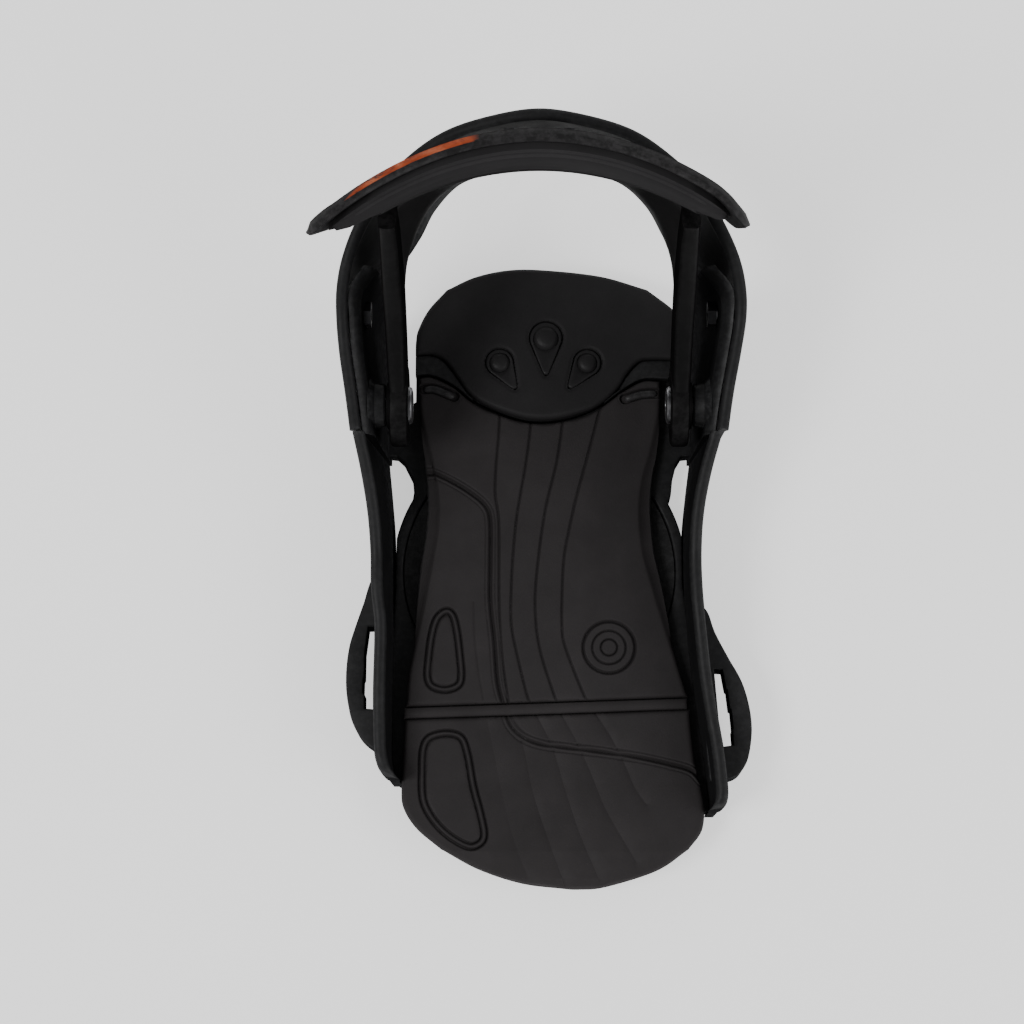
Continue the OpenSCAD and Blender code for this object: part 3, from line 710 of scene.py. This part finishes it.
LIP = [(-47.2, 77.2), (-41.5, 77.2), (-33, 73), (-26.6, 67.6), (-20.8, 64.3), (-9, 59.7),
       (1, 58.3), (11.5, 59.7), (21, 63.3), (28.6, 68.6), (31, 71.2), (40, 75.6), (50.6, 75.6)]
heel_top = np.vstack([smooth(HEEL_LEFT, 24), smooth(HEEL_BACK, 40)[1:],
                      smooth(HEEL_RIGHT, 24)[::-1][1:], [(53.6, 79)],
                      smooth(LIP, 110)[::-1], [(-47.8, 80)]])
extruded("base_heel_plateau", heel_top, [], 9, HEEL_LOW, *PLATE, 0.7)
for side, lower, upper in (
        ("left", [(-48, 76.2), (-41.5, 76.2), (-33.2, 72.2), (-25.4, 65.6)],
         [(-27.9, 68.9), (-32.2, 75), (-36.9, 81.1), (-41.8, 83.7), (-48, 83.6)]),
        ("right", [(50, 74.6), (40, 74.6), (32, 70.2), (24.5, 64.2)],
         [(30.4, 69.7), (34.7, 76.4), (39.2, 81), (44, 81.8), (53, 81.6)])):
    ring = np.vstack([smooth(lower, 30), smooth(upper, 30)])
    extruded("base_heel_step_" + side, ring, [], 10, 16.6, *PLATE, 0.5)

# Rails: y, outer x at the top, top z, outer x at the floor
RAIL_LEFT = [(-82, 56.4, 27, 56), (-81.4, 57.4, 30.6, 56.4), (-80, 58.6, 33.2, 57),
             (-77, 60.3, 34.4, 58),
             (-70, 61.6, 35.2, 58.6), (-50, 62, 37, 58.6), (-26, 61.6, 39, 58.8),
             (-12, 63, 41, 59), (2, 63.2, 42.6, 59.2), (16, 64.2, 47.6, 59.6),
             (30, 66.4, 54, 60.8), (44, 69.4, 60, 62.2)]
RAIL_RIGHT = [(-93.6, 67.2, 26.5, 66.6), (-93, 68, 30, 66.8), (-91.6, 69.2, 33, 67),
              (-89, 70, 34, 66.8),
              (-84, 70, 34.4, 66), (-71, 68.6, 34.8, 64.6), (-57, 66.2, 35.6, 62.8),
              (-42, 64, 37, 61.2), (-27, 62.4, 39, 59.8), (-12, 61, 41, 59),
              (2, 60.6, 42.6, 58.8), (16, 61.4, 47.6, 59), (30, 64, 54, 60.4),
              (44, 68, 60, 62.2)]
# Hoop arms: y, outer x at the top, top z, outer x at the floor line, lower z
ARM_LEFT = [(44.6, 69.9, 60.2, 65.9, 44.6), (58, 71.6, 65.5, 65.9, 41), (72, 73.6, 71, 65.3, 42),
            (84, 74.5, 75.5, 64.3, 45), (94, 74.2, 80, 63.3, 49)]
ARM_RIGHT = [(44.6, 69.7, 60.2, 65.9, 44.6), (58, 71.6, 65.5, 65.9, 41), (72, 74.2, 71, 65.3, 42),
             (84, 76, 75.5, 64.3, 45), (94, 75.6, 80, 63.3, 49)]
# Back of the hoop, left to right: top x, y, z and bottom x, y, z
HOOP_BACK = [(-72, 104, 85, -66, 103.5, 53), (-67.5, 115.5, 89, -54.5, 112, 50.5),
             (-60, 127, 92, -47.5, 122, 50), (-47.5, 139.3, 95, -41.5, 133.8, 50),
             (-33.8, 147.6, 98.5, -31.5, 144.6, 50), (-17, 151.9, 102.5, -17.5, 149.4, 50),
             (0, 154, 104, 0, 151.6, 50), (17, 151.9, 102.7, 17.5, 149.4, 50),
             (33.5, 147.6, 99.5, 32, 145, 50), (46.5, 140.3, 95.5, 42.5, 135.2, 50),
             (58.5, 129.5, 92.5, 49, 123.2, 50), (67.5, 116, 89, 54.5, 111.5, 50.5),
             (73, 104, 85, 67, 103.5, 53)]
WING_TIP = (102.4, 69, 82, 58.6)
RAIL_WALL, RAIL_BEAD, HOOP_WALL, HOOP_BEAD = 4.2, 4.7, 3.1, 4.4


def wing_section(thick):
    """A wing wall's (inward, up) pairs: its top slopes in from the hoop's inner face."""
    return [(0.1, "low"), (0.1, 0.35), (0.1, -1.2), (0.5, -0.3), (1.2, -0.5), (2.6, -1.6),
            (thick - 0.3, -4), (thick, -6.5), (thick, -9), (thick, 0.35), (thick, "low")]


def bead_section(thick, bead):
    """A wall's (inward, up) pairs with a rounded bead along its top.

    up is "low" at the foot, millimetres from the top where it isn't positive, and otherwise
    the share of the way up from the foot to the top.
    """
    half, drop = thick / 2, bead * 0.75
    out = [(0.45, "low"), (0.45, 0.35), (0.45, -drop - 1.5), (0.1, -drop)]
    for a in np.linspace(180, 0, 13):
        out.append((half + bead / 2 * math.cos(math.radians(a)),
                    -bead * 0.42 + bead * 0.42 * math.sin(math.radians(a))))
    out += [(thick - 0.1, -drop), (thick - 0.45, -drop - 1.5), (thick - 0.45, 0.35),
            (thick - 0.45, "low")]
    return out


def wall(stations, thick, bead, name, mat, body, slot, nodes):
    """Stations are top (x, y, z), bottom (x, y, z), inward at the top and bottom."""
    section = bead_section(thick, bead) if bead else wing_section(thick)
    verts = []
    for top, low, n_top, n_low in stations:
        for inward, up in section:
            if up == "low":
                verts.append(low + n_low * inward)
            elif up > 0:
                verts.append((low + n_low * inward) * (1 - up) + (top + n_top * inward) * up)
            else:
                k = min(1, -up / max(top[2] - low[2], 1))
                verts.append((top + n_top * inward) * (1 - k) + (low + n_low * inward) * k)
    return add_mesh(name, verts, loft_faces(len(stations), len(section)), mat, body, slot,
                    nodes, 40)


def rail_stations(profile, arm, s):
    """The front wall, and the wing that runs back inside the hoop's arm."""
    rows = [(y, tx, tz, fx, 0) for y, tx, tz, fx in profile]
    first = smooth(rows, 90)
    rows = [(a[0] - 0.4, a[1] - 3.9, a[2] - 1.8, a[3] - 4.2, (a[0] - 85) * 1.3)
            for a in arm + [WING_TIP]]
    rows = [(43.6, rows[0][1], rows[0][2] - 0.5, rows[0][3], rows[0][4])] + rows
    second = smooth(rows, 48)
    second[:, 4] = np.maximum(second[:, 4], 0)
    out = []
    for part in (first, second):
        stations = []
        for y, tx, tz, fx, low in part:
            slope = (tx - fx) / tz
            stations.append((np.array([s * tx, y, tz]), np.array([s * (fx + slope * low), y, low]),
                             np.array([-s, 0, 0.0]), np.array([-s, 0, 0.0])))
        out.append(stations)
    return out


for s, profile, arm, side in ((-1, RAIL_LEFT, ARM_LEFT, "left"),
                              (1, RAIL_RIGHT, ARM_RIGHT, "right")):
    front, rear = rail_stations(profile, arm, s)
    wall(front, RAIL_WALL, RAIL_BEAD, "base_rail_" + side, *PLATE)
    wall(rear, RAIL_WALL, 0, "base_rail_heel_" + side, *PLATE)
    turned("base_pivot_boss_" + side,
           [(3.9, 0), (4.1, 0.0), (7.4, 0.0), (8, 0.6), (8.6, 4), (11, 6.6), (3.9, 6.6)],
           (s * 57.4, *PIVOT), (s, 0, 0), *PLATE)

EAR_LEFT = [(-58, -3), (-63.6, -5), (-66.8, -14.5), (-70, -24), (-72, -31), (-73, -39), (-73, -47),
            (-72, -54), (-70.4, -60), (-67, -66), (-62, -70), (-58, -71)]
EAR_RIGHT = [(58, -14), (63.4, -17), (66.6, -25.6), (71.4, -35), (76.3, -44), (79, -53), (80, -62),
             (79, -71), (77, -76.5), (73, -80.5), (64, -82)]
SLOT_LEFT = [(-60.4, -23.2), (-64.9, -23.4), (-66.1, -33), (-66.2, -42.6), (-66.6, -43.2),
             (-66.7, -48.6), (-66, -49.2), (-66, -54.6), (-60.8, -55)]
SLOT_RIGHT = [(66, -39.6), (69.1, -39.8), (70.4, -47), (70.9, -47.4), (71.7, -54.4), (72.3, -54.8),
              (72.9, -62), (72.6, -62.6), (73, -68.4), (68.4, -69)]


for side, outline, hole in (("left", EAR_LEFT, SLOT_LEFT), ("right", EAR_RIGHT, SLOT_RIGHT)):
    extruded("base_ear_" + side, smooth(outline, 90), [hole], 8, 22, *PLATE, 0.5)


# ---- heel hoop

def arm_rows(arm, s):
    return [(s * tx, y, tz, s * (fx + (tx - fx) / tz * low), y, low)
            for y, tx, tz, fx, low in arm]


def hoop_stations():
    path = smooth(arm_rows(ARM_LEFT, -1) + HOOP_BACK + arm_rows(ARM_RIGHT, 1)[::-1], 220)
    out = []
    for k, row in enumerate(path):
        a, b = path[max(k - 1, 0)], path[min(k + 1, len(path) - 1)]
        n_top = np.array([b[1] - a[1], -(b[0] - a[0]), 0])
        n_low = np.array([b[4] - a[4], -(b[3] - a[3]), 0])
        out.append((row[:3], row[3:], n_top / norm(n_top),
                    n_low / norm(n_low)))
    return out


wall(hoop_stations(), HOOP_WALL, HOOP_BEAD, "heel_hoop_band", HOOP, "base", "hoop_nylon",
     ["heel_hoop"])


# ---- highback

CROWN, FOOT_Z, LEAN, SHELL, PAD = 250.0, 112.0, 0.257, 4.5, 5.0


def spine(z):
    """y of the leaning back's middle line."""
    return 128 - (z - FOOT_Z) * LEAN


def bow(z):
    """How much the back curves round the calf at a height."""
    return 0.005 + (z - FOOT_Z) / 138 * 0.0009


def back_point(u, z, depth):
    zs = [100, 120, 140, 170, 200, 225, 238, 251]
    half = np.interp(z, zs, [55.8, 57, 60.4, 66, 70.6, 72.8, 73.4, 73.4] if u < 0 else
                     [55.8, 57, 60, 64, 66, 66.5, 66, 65.4])
    x = u * half
    return (x, spine(z) - bow(z) * x * x + depth, z)


def edge_high(u):
    return CROWN + np.interp(u, [-1, -0.97, -0.9, -0.78, -0.5, 0, 0.5, 0.8, 0.91, 0.97, 1],
                             [-18, -12, -7, -3, -0.8, 0, -0.6, -3.4, -8, -15, -23])


def edge_low(u):
    return np.interp(abs(u), [0, 0.5, 0.7, 0.84, 1], [112, 110.5, 109, 108.5, 109])


def back_plate(name, low, high, inset, near, far, mat, slot, nodes, nu, nv, relief, marks=False):
    """Front and back faces over one grid, joined round a rolled edge."""
    us = np.linspace(-1, 1, nu)
    front, back, paint = [], [], []
    for u in us:
        a, b = max(float(edge_low(u)), low), float(edge_high(u)) - high
        for t in np.linspace(0, 1, nv):
            z = a + (b - a) * t
            x, y, _ = back_point(u * inset, z, 0)
            edge = min((1 - abs(u)) * 60, t * (b - a), (1 - t) * (b - a))
            r = min((far - near) * 0.48, 2.2)
            roll = r * (1 - math.sqrt(max(0, 1 - max(0, 1 - edge / r) ** 2))) if edge < r else 0
            f_in, f_out = relief(u, t, z)
            front.append((x, y + near + roll + f_in, z))
            back.append((x, y + far - roll + f_out, z))
    count = len(front)
    verts = front + back
    idx = lambda i, j, side: side * count + i * nv + j
    faces = []
    for i in range(nu - 1):
        for j in range(nv - 1):
            faces.append((idx(i, j, 0), idx(i, j + 1, 0), idx(i + 1, j + 1, 0), idx(i + 1, j, 0)))
            faces.append((idx(i, j, 1), idx(i + 1, j, 1), idx(i + 1, j + 1, 1), idx(i, j + 1, 1)))
        for j in (0, nv - 1):
            faces.append((idx(i, j, 0), idx(i + 1, j, 0), idx(i + 1, j, 1), idx(i, j, 1)))
    for j in range(nv - 1):
        for i in (0, nu - 1):
            faces.append((idx(i, j, 0), idx(i, j + 1, 0), idx(i, j + 1, 1), idx(i, j, 1)))
    if marks:
        for k, (x, y, z) in enumerate(verts):
            near_top = ease((z - 243.5) / 5)
            behind = 1.0 if k >= count else 0.0
            along = ease((x + 70) / 8) * ease((-12 - x) / 16)
            paint.append(float(near_top * along * behind))
    return add_mesh(name, verts, faces, mat, "highback", slot, nodes, 55,
                    paint if marks else None)


def shell_relief(u, t, z):
    """Raised border and two long ribs on the outside, and a right edge that curls forward."""
    border = float(ease((abs(u) - 0.86) / 0.06)) * 0.4
    curl = -3.0 * float(ease((u - 0.84) / 0.16) * ease((z - 165) / 30))
    rib = 0.6 * math.exp(-((abs(u) - 0.42) / 0.05) ** 2)
    rib *= float(ease(t / 0.15) * ease((1 - t) / 0.2))
    return (curl, min(border + rib, 1.0) + curl)


def pad_relief(u, t, z):
    """A seam round the foam, which thins at its edges and towards the heel."""
    edge = min((1 - abs(u)) * 60, t * 105, (1 - t) * 105)
    seam = 0.35 * math.exp(-((edge - 7) / 1.0) ** 2)
    thin = 3.4 * float(1 - ease((z - 138) / 62))
    crown = 2.2 * (1 - float(ease((1 - t) * 105 / 16))) + 1.2 * (1 - float(ease(edge / 9)))
    return (min(seam + thin + crown, 4.4), 0.0)


back_plate("highback_shell_body", 0, 0, 1, 0, SHELL, BACK, "highback_nylon", ["highback_shell"],
           97, 81, shell_relief, marks=True)
pad = back_plate("highback_foam", 140, 5, 0.91, -PAD - 0.1, -0.1, HEEL, "heel_foam",
                 ["highback_pad"], 121, 91, pad_relief)


def leg(s, side):
    """A tapering arm from the corner of the shell down to a round foot at the pivot."""
    rows, ring = 46, 36
    centre = smooth([(110, 121), (107, 111), (101, 98), (92, 82), (80, 68), (68, 57.5),
                            (56, 50)], rows)
    t = np.linspace(0, 1, rows)
    width = np.interp(t, [0, 0.2, 0.6, 0.85, 1], [15, 18, 20, 24, 28])
    x_in = np.interp(t, [0, 0.2, 0.5, 0.8, 1], [50.6, 49.9, 49.3, 49.1, 49.1])
    x_out = np.interp(t, [0, 0.4, 0.8, 1], [57.2, 57.3, 56.4, 55.6])
    verts = []
    for k in range(rows):
        a, b = centre[max(k - 1, 0)], centre[min(k + 1, rows - 1)]
        along = (b - a) / norm(b - a)
        across = np.array([-along[1], along[0]])
        for q in range(ring):
            angle = 2 * math.pi * q / ring
            u, v = (math.copysign(abs(w) ** 0.42, w) for w in (math.cos(angle), math.sin(angle)))
            y, z = centre[k] + across * u * width[k] / 2
            x = (x_in[k] + x_out[k]) / 2 + v * (x_out[k] - x_in[k]) / 2
            verts.append((s * x, y, z))
    add_mesh("highback_leg_" + side, verts, loft_faces(rows, ring), SHADED_LEG, *ON_BACK, ROUND_EDGE)
    turned("highback_foot_" + side,
           [(3.02, 0), (8.2, 0), (8.6, 0.6), (9.6, 0.6), (10.2, 0), (14.4, 0), (15.2, 0.4),
            (15.5, 1.2), (15.5, 5.2), (15.1, 6.2), (14.2, 6.6), (9.4, 6.6), (9, 7.4), (8.4, 8),
            (3.02, 8)],
           (s * 49, *PIVOT), (s, 0, 0), SHADED_LEG, *ON_BACK, steps=64)


def arch(s, side):
    """The wrap that carries the shell round the heel and down into a leg."""
    n, m, half = 56, 22, 2.25
    free = smooth([(51.5, 91, 68), (50.2, 102, 79), (46, 113.3, 90.5), (39.3, 121.3, 100.3),
                          (29.5, 126.6, 108.3), (17, 128.8, 112.3)], n)
    top = smooth([(54.4, 110, 117), (50, 116, 118), (40, 120.5, 118.5), (29, 124.2, 119),
                         (17, 126.9, 119.5)], n)
    left = smooth([free[0], (52.8, 99, 88), (54.3, 105.5, 104), top[0]], m)
    right = straight([free[-1], top[-1]], m)
    grid = coons(lambda _: free, lambda _: top, lambda _: left, lambda _: right, n, m)
    du, dv = np.gradient(grid, axis=1), np.gradient(grid, axis=0)
    normal = np.cross(du, dv)
    normal /= norm(normal, axis=2, keepdims=True)
    rows = np.linspace(0, 1, m)
    thick = half * np.sqrt(1 - (1 - np.clip(rows / 0.16, 0, 1)) ** 2)[:, None, None]
    verts = np.concatenate([grid + normal * thick, (grid - normal * thick)[::-1]])
    verts = verts.reshape(-1, 3) * (s, 1, 1)
    strip = 2 * m
    faces = [(i * n + j, i * n + j + 1, (i + 1) % strip * n + j + 1, (i + 1) % strip * n + j)
             for i in range(strip) for j in range(n - 1)]
    faces += [tuple(i * n + j for i in range(strip)) for j in (0, n - 1)]
    add_mesh("highback_arch_" + side, verts, faces, BACK, *ON_BACK, ROUND_EDGE)


for s, side in ((-1, "left"), (1, "right")):
    leg(s, side)
    arch(s, side)

lean_a = math.atan(LEAN)


def at_spine(x, y, z):
    return (x, spine(FOOT_Z) + SHELL + y * math.cos(lean_a) - z * math.sin(lean_a),
            FOOT_Z + y * math.sin(lean_a) + z * math.cos(lean_a))


def repaint(node, mat):
    """A carried-over CAD node with a finished material."""
    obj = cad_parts[node]
    obj.data.materials.clear()
    obj.data.materials.append(mat)
    return obj


def bevelled(obj, width, angle):
    bevel = obj.modifiers.new("soft", "BEVEL")
    bevel.width = width * MM
    bevel.segments = 3
    bevel.limit_method = "ANGLE"
    bevel.angle_limit = math.radians(angle)


def spine_prism(name, profile, x0, x1, mat, body, slot, nodes, edge):
    """A prism along x from a (y, z) outline in the spine's own frame, with bevelled edges."""
    prof = np.asarray(profile, float)
    verts = [at_spine(x, y, z) for x in (x0, x1) for y, z in prof]
    n = len(prof)
    faces = [tuple(range(n)), tuple(range(n, 2 * n))] + [
        (j, (j + 1) % n, n + (j + 1) % n, n + j) for j in range(n)]
    bevelled(add_mesh(name, verts, faces, mat, body, slot, nodes, SOFT_EDGE), edge, 30)


spine_prism("highback_track", [(-1.5, 3), (2, 3), (2, 65), (-1.5, 65)], -5, 5, BACK, *ON_BACK,
            0.3)
teeth = [(2, 3)]
TEETH, PITCH = 24, 2.5
for k in range(TEETH):
    z = 4.5 + k * PITCH
    teeth += [(4, z), (4, z + 1.3), (3.4, z + 1.5), (3.4, z + 2.4)]
teeth += [(4, 65), (2, 65)]
spine_prism("highback_track_teeth", teeth, -8, 8, BACK, *ON_BACK, 0.15)

for node in ("lean_block", "lean_lever", "mounting_disc", "toe_ramp"):
    obj = repaint(node, DISC if node == "mounting_disc" else NYLON)
    flat = obj.modifiers.new("flat", "DECIMATE")
    flat.decimate_type = "DISSOLVE"
    flat.angle_limit = math.radians(2)
    bevelled(obj, 0.7, 40)

# ---- fasteners

for s, side in ((-1, "left"), (1, "right")):
    recess = [(0.0, 0.9), (1.9, 0.9), (2.2, 0.0), (5.2, 0.0), (6.6, 0.35), (7, 0.9), (7, 1.65),
              (2.95, 1.65), (2.95, 16.6), (2.5, 17), (0, 17)]
    turned("pivot_bolt_head_" + side, recess, (s * 47.3, *PIVOT), (s, 0, 0), STEEL, "base",
           "steel", ["pivot_bolt_" + side])
    turned("pivot_nut_cap_" + side,
           [(3, 0), (4, 0), (4, 11.75), (7, 11.75), (7, 12.7), (6.3, 13.3), (3.2, 13.3),
            (2.6, 12.2), (0, 12.2)],
           (s * 57.7, *PIVOT), (s, 0, 0), STEEL, "base", "steel", ["pivot_nut_" + side])
    turned("hoop_bolt_head_" + side,
           [(0, -8.2), (2.45, -8.2), (2.45, 0), (5.6, 0), (5.6, 0.8), (4.8, 1.5), (2.4, 1.7),
            (2.0, 0.9), (0, 0.9)],
           (s * (72.4 if s > 0 else 71.2), *HOOP_BOLT), (s, 0, 0), STEEL, "base", "steel",
           ["hoop_bolt_" + side])
for node in ("hoop_nut_left", "hoop_nut_right", "lever_pin"):
    repaint(node, DARK_STEEL)

# ---- floor, light, camera

FLOOR_HALF, FLOOR_Z = 6, -0.0002          # metres from here on
floor = bpy.data.meshes.new("studio_floor")
floor.from_pydata([(x * FLOOR_HALF, y * FLOOR_HALF, FLOOR_Z)
                   for x, y in ((-1, -1), (1, -1), (1, 1), (-1, 1))], [], [(0, 1, 2, 3)])
floor_obj = bpy.data.objects.new("studio_floor", floor)
link(floor_obj)
mat, tree, shader, where = material("pale_floor")
tree.links.new(ramp(tree, noise(tree, where, 3, 3, 0.5), [(0.3, grey(0.86)), (0.7, grey(0.9))]),
               shader.inputs["Base Color"])
shader.inputs["Roughness"].default_value = 0.9
shader.inputs["Emission Color"].default_value = (1, 1, 1, 1)
shader.inputs["Emission Strength"].default_value = 0.9
floor.materials.append(mat)


def area_light(name, place_at, target, size, power):
    data = bpy.data.lights.new(name, "AREA")
    data.shape = "RECTANGLE"
    data.size, data.size_y = size
    data.energy = power
    lamp = bpy.data.objects.new(name, data)
    lamp.location = place_at
    lamp.rotation_euler = (Vector(target) - Vector(place_at)).to_track_quat("-Z", "Y").to_euler()
    link(lamp)


area_light("key", (-0.9, -0.45, 1.5), (0, 0, 0.05), (0.6, 0.6), 12)
area_light("fill", (1.4, -0.6, 1.1), (0, 0, 0.05), (1.2, 0.8), 9)
area_light("back", (0.2, 1.6, 0.9), (0, 0.05, 0.1), (1.2, 0.5), 4)
world = bpy.data.worlds.new("studio")
world.use_nodes = True
sky = world.node_tree.nodes["Background"]
sky.inputs[0].default_value = (1, 1, 1, 1)
sky.inputs[1].default_value = 0.33
bpy.context.scene.world = world

camera_data = bpy.data.cameras.new("camera")
camera_data.sensor_width = 36
camera_data.lens = 100.5
camera_data.clip_end = 20
camera = bpy.data.objects.new("camera", camera_data)
# The camera stands REACH from a point AIM_Z above the floor, then turns a little off it
TILT, REACH, AIM_Z = math.radians(80), 1.1, 0.01
TURN, NOD = math.radians(0.547), math.radians(1.188)
camera.location = Vector((0, -REACH * math.cos(TILT), AIM_Z + REACH * math.sin(TILT)))
forward = Vector((0, math.cos(TILT), -math.sin(TILT)))
right_dir = Vector((1, 0, 0))
up_dir = right_dir.cross(forward)
yaw = Matrix.Rotation(TURN, 3, up_dir)
forward, right_dir = yaw @ forward, yaw @ right_dir
pitch = Matrix.Rotation(NOD, 3, right_dir)
forward, up_dir = pitch @ forward, pitch @ up_dir
camera.rotation_euler = Matrix((right_dir, up_dir, -forward)).transposed().to_euler()
link(camera)
bpy.context.scene.camera = camera
